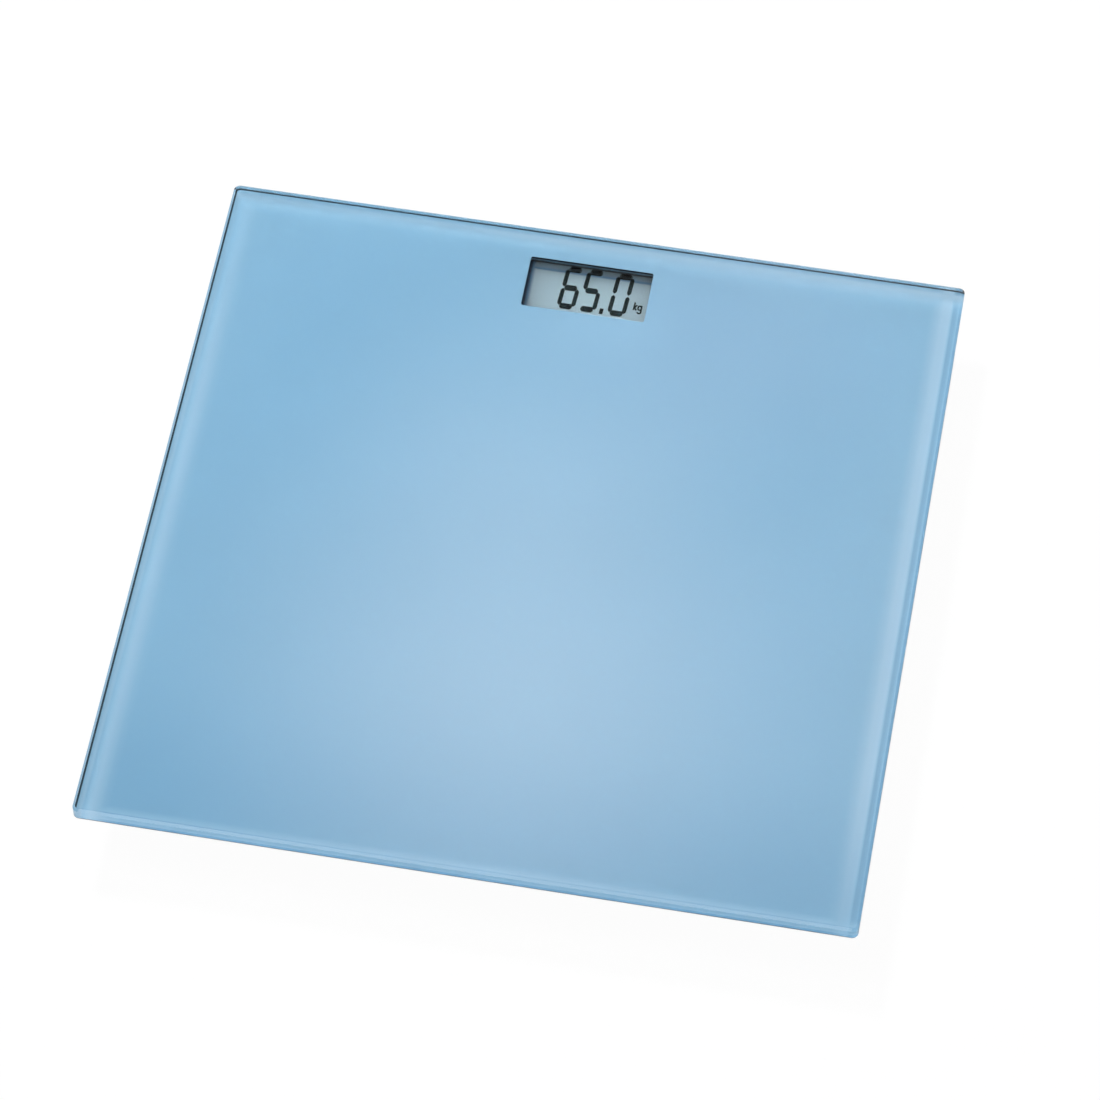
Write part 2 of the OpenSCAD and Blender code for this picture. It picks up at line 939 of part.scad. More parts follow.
module foot_cap(c) {
    skirt_in_r = cap_r - cap_skirt_t;
    lug_z = shell_z + lip_h + gap;
    lug_h = 1.3;
    lug_out = 0.9;
    lug_w = 8;
    skirt_top_z = lug_z + lug_h;
    centre_r = 5;
    rib_w = 1.2;
    rib_h = 1.6;
    edge = 0.5;
    color("lightgray")
        at_foot(c)
            union() {
                rotate_extrude()
                    polygon([
                        [0, cap_z + pad_seat], [pad_r, cap_z + pad_seat], [pad_r, cap_z],
                        [cap_r - edge, cap_z], [cap_r, cap_z + edge], [cap_r, skirt_top_z],
                        [skirt_in_r, skirt_top_z], [skirt_in_r, cap_top_z],
                        [centre_r, cap_top_z], [centre_r, boss_top_z], [0, boss_top_z]
                    ]);
                for (turn = [0:60:300])
                    rotate([0, 0, turn + 15])
                        translate([centre_r - edge, -rib_w / 2, cap_top_z - eps])
                            cube([skirt_in_r - centre_r + 2 * edge, rib_w, rib_h]);
                for (turn = [0:120:240])
                    rotate([0, 0, turn + 30])
                        intersection() {
                            difference() {
                                translate([0, 0, lug_z])
                                    cylinder(h = lug_h, r = cap_r + lug_out);
                                translate([0, 0, lug_z - 1])
                                    cylinder(h = lug_h + 2, r = cap_r - edge);
                            }
                            translate([0, -lug_w / 2, 0])
                                cube([cap_r + 5, lug_w, overall_h]);
                        }
            }
}

module foot_pad(c) {
    groove_d = 0.5;
    groove_half = 0.8;
    grooves = [7:4:19];
    sole_r = pad_r - 0.8;
    sole_edge = 0.5;
    color("dimgray")
        at_foot(c)
            difference() {
                rotate_extrude()
                    polygon([
                        [0, 0], [sole_r - sole_edge, 0], [sole_r, sole_edge], [sole_r, cap_z],
                        [pad_r, cap_z], [pad_r, cap_z + pad_seat], [0, cap_z + pad_seat]
                    ]);
                for (r = grooves)
                    translate([0, 0, -1])
                        difference() {
                            cylinder(h = 1 + groove_d, r = r + groove_half);
                            translate([0, 0, -1])
                                cylinder(h = 3 + groove_d, r = r - groove_half);
                        }
            }
}

module foot_tapes() {
    ring_w = 8;
    color("dimgray")
        for (c = CORNERS)
            at_foot(c)
                translate([0, 0, tape_z])
                    difference() {
                        cylinder(h = tape_t, r = foot_flange_r);
                        translate([0, 0, -1])
                            cylinder(h = tape_t + 2, r = foot_flange_r - ring_w);
                    }
}

// ---- wires ----

// One lead: a bend up from the gauge, a straight run, a bend down and a leg to the board
module lead(run) {
    leg = wire_z - wire_bend - board_top_z - solder_h;
    union() {
        translate([wire_bend, 0, wire_z - wire_bend])
            rotate([90, 0, 0])
                rotate([0, 0, 90])
                    rotate_extrude(angle = 90)
                        translate([wire_bend, 0])
                            circle(wire_r);
        translate([wire_bend, 0, wire_z])
            rotate([0, 90, 0])
                cylinder(h = run - 2 * wire_bend, r = wire_r);
        translate([run - wire_bend, 0, wire_z - wire_bend])
            rotate([90, 0, 0])
                rotate_extrude(angle = 90)
                    translate([wire_bend, 0])
                        circle(wire_r);
        translate([run, 0, wire_z - wire_bend - leg])
            cylinder(h = leg, r = wire_r);
    }
}

module sensor_wires(c) {
    color("firebrick")
        along_wires(c)
            for (i = [-1, 0, 1])
                translate([0, i * wire_pitch, 0])
                    lead(run_length(c));
}

// Cuts its first child back from the feet and the tray
module between_housings(c) {
    margin = 0.2;
    difference() {
        children();
        at_foot(c)
            shell_envelope(margin);
        tray_envelope(margin);
    }
}

module wire_duct(c) {
    half = duct_in_w / 2;
    wide = half + duct_wall;
    flange_half = wide + duct_flange_w;
    color("whitesmoke")
        between_housings(c)
            along_wires(c)
                difference() {
                    union() {
                        block([0, -wide, duct_z], [run_length(c), wide, tape_z]);
                        block(
                            [0, -flange_half, tape_z - duct_wall],
                            [run_length(c), flange_half, tape_z]
                        );
                    }
                    block([-1, -half, slot_z], [run_length(c) + 1, half, tape_z + 1]);
                }
}

module duct_tapes() {
    inner = (duct_in_w + duct_wall) / 2;
    outer = duct_in_w / 2 + duct_wall + duct_flange_w;
    color("dimgray")
        for (c = CORNERS)
            between_housings(c)
                along_wires(c)
                    for (side = [-1, 1])
                        translate([0, side * (inner + outer) / 2, tape_z])
                            block(
                                [0, -(outer - inner) / 2, 0],
                                [run_length(c), (outer - inner) / 2, tape_t]
                            );
}

// ---- assembly ----

glass_platform();
colour_film();
lcd_bezel();
lcd_polarizer();
lcd_front_glass();
lcd_segments();
lcd_seal();
lcd_rear_glass();
lcd_reflector();
lcd_tape();
zebra_connector();
module_housing();
module_gasket();
circuit_board();
board_screws();
controller_blob();
board_capacitors();
board_resistors();
solder_joints();
tact_switch();
switch_plunger();
unit_button();
battery_cell();
battery_contact_minus();
battery_contact_plus();
battery_door();
foot_tapes();
duct_tapes();
for (c = CORNERS) {
    foot_shell(c);
    load_cell(c);
    strain_gauge(c);
    foot_cap(c);
    foot_pad(c);
    sensor_wires(c);
    wire_duct(c);
}
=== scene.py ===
import math

import bmesh
import bpy
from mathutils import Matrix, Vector


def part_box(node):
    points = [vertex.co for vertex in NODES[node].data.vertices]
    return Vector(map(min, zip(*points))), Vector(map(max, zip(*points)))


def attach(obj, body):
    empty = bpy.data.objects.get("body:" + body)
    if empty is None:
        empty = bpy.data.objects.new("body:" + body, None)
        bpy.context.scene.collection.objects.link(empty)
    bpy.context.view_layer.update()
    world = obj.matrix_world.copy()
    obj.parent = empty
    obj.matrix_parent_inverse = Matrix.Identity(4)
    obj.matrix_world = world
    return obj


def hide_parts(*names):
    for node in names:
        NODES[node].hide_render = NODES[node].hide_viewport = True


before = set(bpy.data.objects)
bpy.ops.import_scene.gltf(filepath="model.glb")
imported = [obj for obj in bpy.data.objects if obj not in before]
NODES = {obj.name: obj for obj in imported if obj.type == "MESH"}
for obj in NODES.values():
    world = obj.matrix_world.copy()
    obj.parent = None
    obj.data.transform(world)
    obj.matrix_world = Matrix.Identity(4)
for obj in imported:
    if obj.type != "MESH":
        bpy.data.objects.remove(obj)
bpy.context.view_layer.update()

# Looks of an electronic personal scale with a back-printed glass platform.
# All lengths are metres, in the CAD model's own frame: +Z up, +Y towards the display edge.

MM = 0.001
CORNERS = ("front_left", "front_right", "rear_left", "rear_right")

plate_low, plate_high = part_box("glass_platform")
film_low, film_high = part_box("colour_film")
well_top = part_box("lcd_bezel")[1].z
half_side = plate_high.x

# The film's corners and its window's corners, as radii
FILM_CORNER = 2.2 * MM
WINDOW_CORNER = 1.0 * MM
# The window lies at least this far from the film's rear edge
WINDOW_MARGIN = 5.0 * MM
# How far a layer on the glass reaches into it or stands proud of it
SKIN = 0.02 * MM
# Least angle between faces, in degrees, of an edge that a bevel softens
SHARP_ANGLE = 40


def window_edges():
    """Lowest and highest corner of the window in the CAD film, in plan."""
    inner = [
        v.co for v in NODES["colour_film"].data.vertices
        if abs(v.co.x) < half_side / 2 and 0 < v.co.y < film_high.y - WINDOW_MARGIN
    ]
    return (
        Vector((min(p.x for p in inner), min(p.y for p in inner), 0)),
        Vector((max(p.x for p in inner), max(p.y for p in inner), 0)),
    )


window_low, window_high = window_edges()
window_centre = (window_low + window_high) / 2


# ---------------------------------------------------------------- node helpers

def new_material(name):
    """Empty node material with a Principled shader on its output."""
    mat = bpy.data.materials.new(name)
    mat.use_nodes = True
    tree = mat.node_tree
    tree.nodes.clear()
    out = tree.nodes.new("ShaderNodeOutputMaterial")
    shader = tree.nodes.new("ShaderNodeBsdfPrincipled")
    tree.links.new(shader.outputs["BSDF"], out.inputs["Surface"])
    return mat, tree, shader, out


def object_coords(tree, scale=(1, 1, 1)):
    """Position in the model's frame, in metres, stretched by scale."""
    coords = tree.nodes.new("ShaderNodeTexCoord")
    mapping = tree.nodes.new("ShaderNodeMapping")
    mapping.inputs["Scale"].default_value = scale
    tree.links.new(coords.outputs["Object"], mapping.inputs["Vector"])
    return mapping.outputs["Vector"]


def noise(tree, scale, detail=3.0, rough=0.5, stretch=(1, 1, 1)):
    """Noise value in 0..1; scale is in features per metre."""
    tex = tree.nodes.new("ShaderNodeTexNoise")
    tex.inputs["Scale"].default_value = scale
    tex.inputs["Detail"].default_value = detail
    tex.inputs["Roughness"].default_value = rough
    tree.links.new(object_coords(tree, stretch), tex.inputs["Vector"])
    return tex.outputs["Fac"]


def voronoi(tree, scale):
    """Distance to the nearest cell centre; scale is in cells per metre."""
    tex = tree.nodes.new("ShaderNodeTexVoronoi")
    tex.inputs["Scale"].default_value = scale
    tree.links.new(object_coords(tree), tex.inputs["Vector"])
    return tex.outputs["Distance"]


def ramp(tree, source, stops):
    """Colour ramp over source; stops are (place, colour)."""
    node = tree.nodes.new("ShaderNodeValToRGB")
    elements = node.color_ramp.elements
    while len(elements) > 1:
        elements.remove(elements[-1])
    for i, (place, colour) in enumerate(stops):
        element = elements[0] if i == 0 else elements.new(place)
        element.position = place
        element.color = (*colour, 1.0)
    tree.links.new(source, node.inputs["Fac"])
    return node.outputs["Color"]


def remap(tree, source, low, high, smooth=False, from_low=0.0, from_high=1.0):
    """Source moved from the range from_low..from_high to low..high, and held inside it."""
    node = tree.nodes.new("ShaderNodeMapRange")
    if smooth:
        node.interpolation_type = "SMOOTHSTEP"
    node.inputs["From Min"].default_value = from_low
    node.inputs["From Max"].default_value = from_high
    node.inputs["To Min"].default_value = low
    node.inputs["To Max"].default_value = high
    tree.links.new(source, node.inputs["Value"])
    return node.outputs["Result"]


def calc(tree, operation, a, b=None):
    """Math node; a and b are sockets or numbers."""
    node = tree.nodes.new("ShaderNodeMath")
    node.operation = operation
    for i, value in enumerate((a, b)):
        if value is None:
            continue
        if isinstance(value, (int, float)):
            node.inputs[i].default_value = value
        else:
            tree.links.new(value, node.inputs[i])
    return node.outputs["Value"]


def mix_colour(tree, fac, a, b, blend="MIX"):
    """Colour mix; a and b are sockets or colours."""
    node = tree.nodes.new("ShaderNodeMix")
    node.data_type = "RGBA"
    node.blend_type = blend
    if isinstance(fac, (int, float)):
        node.inputs[0].default_value = fac
    else:
        tree.links.new(fac, node.inputs[0])
    for socket, value in ((node.inputs[6], a), (node.inputs[7], b)):
        if isinstance(value, tuple):
            socket.default_value = (*value, 1.0)
        else:
            tree.links.new(value, socket)
    return node.outputs[2]


def add_bump(tree, shader, heights, distance):
    """Chains bumps from (height socket, strength) onto the shader's normal."""
    last = None
    for height, strength in heights:
        node = tree.nodes.new("ShaderNodeBump")
        node.inputs["Strength"].default_value = strength
        node.inputs["Distance"].default_value = distance
        tree.links.new(height, node.inputs["Height"])
        if last is not None:
            tree.links.new(last, node.inputs["Normal"])
        last = node.outputs["Normal"]
    tree.links.new(last, shader.inputs["Normal"])


def split_position(tree):
    """Position in the model's frame, and its X, Y and Z, as sockets."""
    position = object_coords(tree)
    split = tree.nodes.new("ShaderNodeSeparateXYZ")
    tree.links.new(position, split.inputs["Vector"])
    return position, split.outputs


def shade(colour, factor):
    """Colour times factor, held at white."""
    return tuple(min(1.0, c * factor) for c in colour)


# ---------------------------------------------------------------- materials

# Spark-eroded grain of moulded plastic, and the pits in it, in features per metre
PLASTIC_GRAIN = 2600.0
PLASTIC_PITS = 1170.0


def moulded(name, colour, roughness=0.45, spread=0.06):
    """Moulded plastic: spark-eroded grain, faint flow mottling and slightly uneven gloss."""
    mat, tree, shader, _ = new_material(name)
    mottling = noise(tree, 45.0, 4.0, 0.6)
    base = ramp(tree, mottling, [(0.3, shade(colour, 1 - spread)), (0.7, shade(colour, 1 + spread))])
    specks = remap(tree, noise(tree, PLASTIC_GRAIN, 2.0), 0.0, 1.0)
    base = mix_colour(tree, calc(tree, "MULTIPLY", specks, 0.10), base, shade(colour, 0.8))
    tree.links.new(base, shader.inputs["Base Color"])
    gloss = remap(tree, noise(tree, 160.0, 4.0), roughness - 0.07, roughness + 0.09)
    tree.links.new(gloss, shader.inputs["Roughness"])
    fine = noise(tree, PLASTIC_GRAIN, 3.0)
    pits = voronoi(tree, PLASTIC_PITS)
    add_bump(tree, shader, [(fine, 0.12), (pits, 0.072)], 0.05 * MM)
    return mat


def rubber(name, colour, roughness=0.75, dust=0.12):
    """Soft rubber: matt, with a pebbled skin and a little dust in the hollows."""
    mat, tree, shader, _ = new_material(name)
    pebbles = voronoi(tree, 1500.0)
    cloud = noise(tree, 90.0, 5.0, 0.65)
    base = ramp(tree, cloud, [(0.35, shade(colour, 0.85)), (0.65, shade(colour, 1.2))])
    dusty = tuple(0.35 + 0.3 * c for c in colour)
    settled = remap(tree, noise(tree, 300.0, 5.0, 0.7), 0, 1, True, 0.5, 0.75)
    fac = calc(tree, "MULTIPLY", settled, dust)
    tree.links.new(mix_colour(tree, fac, base, dusty), shader.inputs["Base Color"])
    tree.links.new(remap(tree, cloud, roughness - 0.08, roughness + 0.08), shader.inputs["Roughness"])
    shader.inputs["Specular IOR Level"].default_value = 0.35
    add_bump(tree, shader, [(pebbles, 0.25), (noise(tree, 3000.0, 2.0), 0.1)], 0.08 * MM)
    return mat


def foam(name, colour):
    """Closed-cell foam tape: matt and cellular."""
    mat, tree, shader, _ = new_material(name)
    cells = voronoi(tree, 3200.0)
    base = ramp(tree, cells, [(0.0, shade(colour, 0.55)), (0.45, colour), (1.0, shade(colour, 1.25))])
    tree.links.new(base, shader.inputs["Base Color"])
    tree.links.new(remap(tree, cells, 0.82, 0.95), shader.inputs["Roughness"])
    shader.inputs["Specular IOR Level"].default_value = 0.2
    add_bump(tree, shader, [(cells, 0.5), (noise(tree, 1200.0, 3.0), 0.2)], 0.12 * MM)
    return mat


def brushed(name, colour, roughness=0.3, along=(1, 30, 30), tarnish=0.15):
    """Rolled or brushed metal: fine lines along one axis, light tarnish."""
    mat, tree, shader, _ = new_material(name)
    lines = noise(tree, 220.0, 4.0, 0.6, along)
    cloud = noise(tree, 70.0, 4.0, 0.6)
    base = ramp(tree, lines, [(0.3, shade(colour, 0.88)), (0.7, shade(colour, 1.08))])
    fac = calc(tree, "MULTIPLY", remap(tree, cloud, 0, 1, True, 0.45, 0.8), tarnish)
    tree.links.new(mix_colour(tree, fac, base, shade(colour, 0.55)), shader.inputs["Base Color"])
    shader.inputs["Metallic"].default_value = 1.0
    tree.links.new(remap(tree, lines, roughness - 0.08, roughness + 0.12), shader.inputs["Roughness"])
    add_bump(tree, shader, [(lines, 0.15)], 0.03 * MM)
    return mat


def clear_glass():
    """Tempered float glass, faintly green, that lets the lamps' light through to the ink."""
    mat, tree, shader, out = new_material("platform_glass")
    cloud = noise(tree, 6.0, 2.0)
    tint = ramp(tree, cloud, [(0.0, (0.955, 0.985, 0.99)), (1.0, (0.975, 0.99, 0.995))])
    tree.links.new(tint, shader.inputs["Base Color"])
    shader.inputs["Roughness"].default_value = 0.0
    shader.inputs["IOR"].default_value = 1.5
    shader.inputs["Transmission Weight"].default_value = 1.0
    clear = tree.nodes.new("ShaderNodeBsdfTransparent")
    clear.inputs["Color"].default_value = (0.93, 0.96, 0.97, 1.0)
    path = tree.nodes.new("ShaderNodeLightPath")
    either = tree.nodes.new("ShaderNodeMixShader")
    tree.links.new(path.outputs["Is Shadow Ray"], either.inputs["Fac"])
    tree.links.new(shader.outputs["BSDF"], either.inputs[1])
    tree.links.new(clear.outputs["BSDF"], either.inputs[2])
    tree.links.new(either.outputs["Shader"], out.inputs["Surface"])
    return mat


# ---------------------------------------------------------------- printed ink

# Widest distance from an edge that a list of bands may reach, in millimetres
BAND_SPAN = 20.0

# Tones of the ink by itself, of the painted highlights and painted shade in the lines and blooms below,
# and of the painted shade past the print's edge
INK = (0.197, 0.372, 0.515)
INK_HIGHLIGHT_TONE = (0.308, 0.459, 0.583)
INK_SHADE_TONE = (0.150, 0.318, 0.470)
INK_RIM_SHADE_TONE = (0.130, 0.280, 0.415)
INK_FRONT_SHADE_TONE = (0.105, 0.262, 0.415)
INK_WARM_HIGHLIGHT_TONE = (0.228, 0.379, 0.515)
EDGE_SHADE = (0.020, 0.040, 0.055)

# Painted shade: width of a dark margin between the print and the plate's edge at the left and front,
# and at the rear, and the softness of the print's edge
EDGE_SHADE_SIDE = 1.05 * MM
EDGE_SHADE_REAR = 0.15 * MM
PRINT_BLUR = 0.06 * MM

# Painted highlights and painted shade in lines along each edge of the ink, as (millimetres from the
# edge, amount)
HIGHLIGHT_LEFT = [
    (0, 0.1), (1.1, 0.15), (2.2, 0.6), (2.8, 0.6), (3.7, 0.15),
    (5.4, 0.5), (6.6, 0.6), (7.6, 0.55), (9.4, 0.38), (11, 0.15), (13.5, 0),
]
HIGHLIGHT_RIGHT = [(0, 0.2), (3.4, 0.0), (4.6, 0.8), (7.5, 0.8), (9.5, 0.35), (12.5, 0)]
HIGHLIGHT_REAR = [(0, 0.2), (0.9, 0), (2.5, 0.9), (3.4, 0.9), (5.2, 0.45), (9, 0)]
HIGHLIGHT_FRONT = [(3.0, 0), (3.5, 0.35), (4.6, 0.25), (6.5, 0)]
INK_SHADE_RIGHT = [(0, 0), (1.2, 0.3), (2.0, 1), (3.2, 1), (4.1, 0)]
INK_SHADE_FRONT = [(0, 1), (3.1, 1), (3.5, 0)]

# How those lines change along their edge: (amount at one end, amount further on,
# where the change starts, where it ends), in metres from the edge that is named
HIGHLIGHT_LEFT_FROM_REAR = (0.35, 1.0, 0.0, 0.110)
HIGHLIGHT_RIGHT_FROM_FRONT = (0.35, 1.0, 0.0, 0.070)
HIGHLIGHT_REAR_FROM_LEFT = (0.6, 1.0, 0.040, 0.150)
INK_SHADE_RIGHT_FROM_FRONT = (1.3, 0.9, 0.0, 0.090)
# Painted shade: the ink is darker towards the front edge, in the same form
INK_SHADE_FROM_FRONT = (0.62, 0.0, 0.0, 0.080)

# Painted highlights: faint round blooms of light on the ink: (centre, radius, amount, colour)
HIGHLIGHT_BLOOMS = [
    ((-0.010, 0.066, 0.0), 0.105, 0.36, INK_HIGHLIGHT_TONE),
    ((0.050, 0.115, 0.0), 0.100, 0.85, INK_WARM_HIGHLIGHT_TONE),
]


def band(tree, distance, stops):
    """Grey ramp over a distance in metres; stops are (millimetres, grey)."""
    scaled = calc(tree, "DIVIDE", distance, BAND_SPAN * MM)
    return ramp(tree, scaled, [(mm / BAND_SPAN, (grey,) * 3) for mm, grey in stops])


def change(tree, distance, amounts):
    """Smooth change over a distance in metres: (first amount, last amount, start, end)."""
    first, last, start, end = amounts
    return remap(tree, distance, first, last, True, start, end)


def bloom(tree, position, centre, radius, amount):
    """Amount of a painted highlight bloom at position, fading to none at the radius."""
    flat = tree.nodes.new("ShaderNodeVectorMath")
    flat.operation = "MULTIPLY"
    flat.inputs[1].default_value = (1.0, 1.0, 0.0)
    tree.links.new(position, flat.inputs[0])
    distance = tree.nodes.new("ShaderNodeVectorMath")
    distance.operation = "DISTANCE"
    distance.inputs[1].default_value = centre
    tree.links.new(flat.outputs["Vector"], distance.inputs[0])
    return remap(tree, distance.outputs["Value"], amount, 0.0, True, 0.0, radius)


def printed_ink():
    """Light-blue ink fired on the glass's back, with two faint painted highlights as round blooms.
    Painted highlights in pale lines where light gathers behind the ground rims, painted shade in deeper
    lines outside them and towards the front, and painted shade in a dark margin past the print."""
    mat, tree, shader, _ = new_material("colour_ink")
    position, axes = split_position(tree)
    from_left = calc(tree, "ADD", axes["X"], half_side)
    from_right = calc(tree, "SUBTRACT", half_side, axes["X"])
    from_front = calc(tree, "ADD", axes["Y"], half_side)
    from_rear = calc(tree, "SUBTRACT", half_side, axes["Y"])

    def line(distance, stops, along, amounts):
        """Amount of a line that changes along its edge."""
        return calc(tree, "MULTIPLY", band(tree, distance, stops), change(tree, along, amounts))

    # Painted highlights: pale lines near the left, right, rear and front edges
    left = line(from_left, HIGHLIGHT_LEFT, from_rear, HIGHLIGHT_LEFT_FROM_REAR)
    right = line(from_right, HIGHLIGHT_RIGHT, from_front, HIGHLIGHT_RIGHT_FROM_FRONT)
    rear = line(from_rear, HIGHLIGHT_REAR, from_left, HIGHLIGHT_REAR_FROM_LEFT)
    ends = calc(tree, "MAXIMUM", rear, band(tree, from_front, HIGHLIGHT_FRONT))
    edge_highlight = calc(tree, "MAXIMUM", calc(tree, "MAXIMUM", left, right), ends)
    # Painted shade: a deeper line near the right edge, stronger towards the front
    rim = calc(tree, "MINIMUM", line(from_right, INK_SHADE_RIGHT, from_front, INK_SHADE_RIGHT_FROM_FRONT), 1.0)
    front_shade = change(tree, from_front, INK_SHADE_FROM_FRONT)
    cloud = noise(tree, 14.0, 4.0, 0.55)
    tone = ramp(tree, cloud, [(0.35, shade(INK, 0.985)), (0.65, shade(INK, 1.015))])
    fine = noise(tree, 1800.0, 2.0)
    tone = mix_colour(tree, remap(tree, fine, 0.0, 0.05), tone, shade(INK, 0.8))
    # Painted highlights: two soft blooms of light laid over the ink
    for centre, radius, amount, colour in reversed(HIGHLIGHT_BLOOMS):
        tone = mix_colour(tree, bloom(tree, position, centre, radius, amount), tone, colour)
    # Painted shade: darker towards the front, near the right edge and along the front edge
    tone = mix_colour(tree, front_shade, tone, INK_SHADE_TONE)
    tone = mix_colour(tree, rim, tone, INK_RIM_SHADE_TONE)
    tone = mix_colour(tree, band(tree, from_front, INK_SHADE_FRONT), tone, INK_FRONT_SHADE_TONE)
    # Painted highlight lines laid over the ink's tone
    tone = mix_colour(tree, edge_highlight, tone, INK_HIGHLIGHT_TONE)
    # Painted shade: a dark margin past the print at the left, front and rear edges
    from_left_or_front = calc(tree, "MINIMUM", from_left, from_front)
    for distance, margin in ((from_left_or_front, EDGE_SHADE_SIDE), (from_rear, EDGE_SHADE_REAR)):
        shaded_margin = remap(tree, distance, 1.0, 0.0, True, margin - PRINT_BLUR, margin + PRINT_BLUR)
        tone = mix_colour(tree, shaded_margin, tone, EDGE_SHADE)
    tree.links.new(tone, shader.inputs["Base Color"])
    tree.links.new(remap(tree, fine, 0.55, 0.7), shader.inputs["Roughness"])
    shader.inputs["Specular IOR Level"].default_value = 0.1
    add_bump(tree, shader, [(noise(tree, 900.0, 3.0), 0.05)], 0.02 * MM)
    return mat


def rim_shade_look():
    """Painted shade: a dark layer on the lower ground rim, where the glass's edge shows dark
    surroundings.
    """
    mat, tree, shader, _ = new_material("rim_painted_shade")
    patch = noise(tree, 400.0, 4.0, 0.6)
    base = ramp(tree, patch, [(0.3, (0.030, 0.055, 0.070)), (0.7, (0.055, 0.090, 0.110))])
    tree.links.new(base, shader.inputs["Base Color"])
    tree.links.new(remap(tree, patch, 0.5, 0.7), shader.inputs["Roughness"])
    add_bump(tree, shader, [(patch, 0.2)], 0.03 * MM)
    return mat


# ---------------------------------------------------------------- display and well

# The display's ground: tones from its middle outwards, over an oval of these half-axes; the brighter
# middle is a painted reflection
GROUND_TONES_AND_REFLECTION = [(0.1, (0.71, 0.93, 1.00)), (0.5, (0.68, 0.88, 0.98)), (1.0, (0.57, 0.72, 0.80))]
GROUND_HALF_X = 32 * MM
GROUND_HALF_Y = 22 * MM

# Shade on the ground along the well's rear and left walls, as (millimetres from the wall, amount)
SHADE_REAR = [(0, 0), (1.0, 0.15), (2.0, 0.55), (2.7, 0.9), (2.9, 0.8), (3.5, 0.1), (3.8, 0)]
SHADE_LEFT = [(0, 1), (1.2, 0.95), (1.8, 0.6), (2.3, 0.2), (2.8, 0)]
SHADE_TINT = (0.28, 0.48, 0.72)
# Darker shade in the gap between the left wall and the display, in the same form
GAP_LEFT = [(0, 1), (0.4, 0.9), (0.8, 0.5), (1.2, 0)]
GAP_TINT = (0.10, 0.17, 0.21)

# Depth of the well's black lip, the softness of its lower edge, and the walls' tone below it: partly
# the plastic's own tones, partly painted shade on the lip and a painted reflection below it
LIP = 1.4 * MM
LIP_BLUR = 0.2 * MM
WALL_TONE_AND_HIGHLIGHT = (0.19, 0.29, 0.38)


def lcd_ground_look():
    """The display's pale grey ground: satin, brighter at its middle with a painted reflection, and
    painted shade, blue-grey, where the well's rear and left walls keep the light off it."""
    mat, tree, shader, _ = new_material("lcd_ground")
    position, axes = split_position(tree)
    mapping = tree.nodes.new("ShaderNodeMapping")
    mapping.inputs["Location"].default_value = (0.0, -window_centre.y / GROUND_HALF_Y, 0.0)
    mapping.inputs["Scale"].default_value = (1 / GROUND_HALF_X, 1 / GROUND_HALF_Y, 0.0)
    tree.links.new(position, mapping.inputs["Vector"])
    length = tree.nodes.new("ShaderNodeVectorMath")
    length.operation = "LENGTH"
    tree.links.new(mapping.outputs["Vector"], length.inputs[0])
    # Painted reflection: the ground is brighter towards its middle
    tone = ramp(tree, length.outputs["Value"], GROUND_TONES_AND_REFLECTION)
    grain = noise(tree, 5000.0, 2.0)
    tone = mix_colour(tree, remap(tree, grain, 0.0, 0.10), tone, (0.40, 0.50, 0.55))
    from_rear = calc(tree, "SUBTRACT", window_high.y, axes["Y"])
    from_left = calc(tree, "SUBTRACT", axes["X"], window_low.x)
    shaded = calc(tree, "MAXIMUM", band(tree, from_rear, SHADE_REAR), band(tree, from_left, SHADE_LEFT))
    dim = mix_colour(tree, 1.0, tone, SHADE_TINT, "MULTIPLY")
    tone = mix_colour(tree, shaded, tone, dim)
    gap = mix_colour(tree, 1.0, tone, GAP_TINT, "MULTIPLY")
    tone = mix_colour(tree, band(tree, from_left, GAP_LEFT), tone, gap)
    tree.links.new(tone, shader.inputs["Base Color"])
    tree.links.new(remap(tree, grain, 0.4, 0.55), shader.inputs["Roughness"])
    shader.inputs["Specular IOR Level"].default_value = 0.2
    add_bump(tree, shader, [(grain, 0.08)], 0.02 * MM)
    return mat


def thin_pane(name, colour, alpha, roughness):
    """Thin clear layer of the display: nearly invisible, with a faint haze."""
    mat, tree, shader, _ = new_material(name)
    haze = noise(tree, 300.0, 3.0)
    base = ramp(tree, haze, [(0.3, shade(colour, 0.95)), (0.7, shade(colour, 1.04))])
    tree.links.new(base, shader.inputs["Base Color"])
    shader.inputs["Alpha"].default_value = alpha
    shader.inputs["Roughness"].default_value = roughness
    return mat


def well_look():
    """The well's walls: matt plastic, a black lip under the glass and a blue-grey tone below it, partly
    painted shade at the walls' top and a painted reflection lower down.
    """
    mat, tree, shader, _ = new_material("well_plastic")
    cloud = noise(tree, 700.0, 4.0, 0.6)
    lip = ramp(tree, cloud, [(0.3, (0.006, 0.012, 0.015)), (0.7, (0.010, 0.017, 0.020))])
    wall = ramp(tree, cloud, [(0.3, shade(WALL_TONE_AND_HIGHLIGHT, 0.95)), (0.7, shade(WALL_TONE_AND_HIGHLIGHT, 1.05))])
    _, axes = split_position(tree)
    depth = calc(tree, "SUBTRACT", well_top, axes["Z"])
    below = remap(tree, depth, 0.0, 1.0, True, LIP - LIP_BLUR, LIP + LIP_BLUR)
    # Painted shade and reflection: black lip over the paler blue-grey lower wall
    tree.links.new(mix_colour(tree, below, lip, wall), shader.inputs["Base Color"])
    tree.links.new(remap(tree, cloud, 0.6, 0.75), shader.inputs["Roughness"])
    shader.inputs["Specular IOR Level"].default_value = 0.1
    add_bump(tree, shader, [(noise(tree, 2600.0, 3.0), 0.12)], 0.04 * MM)
    return mat


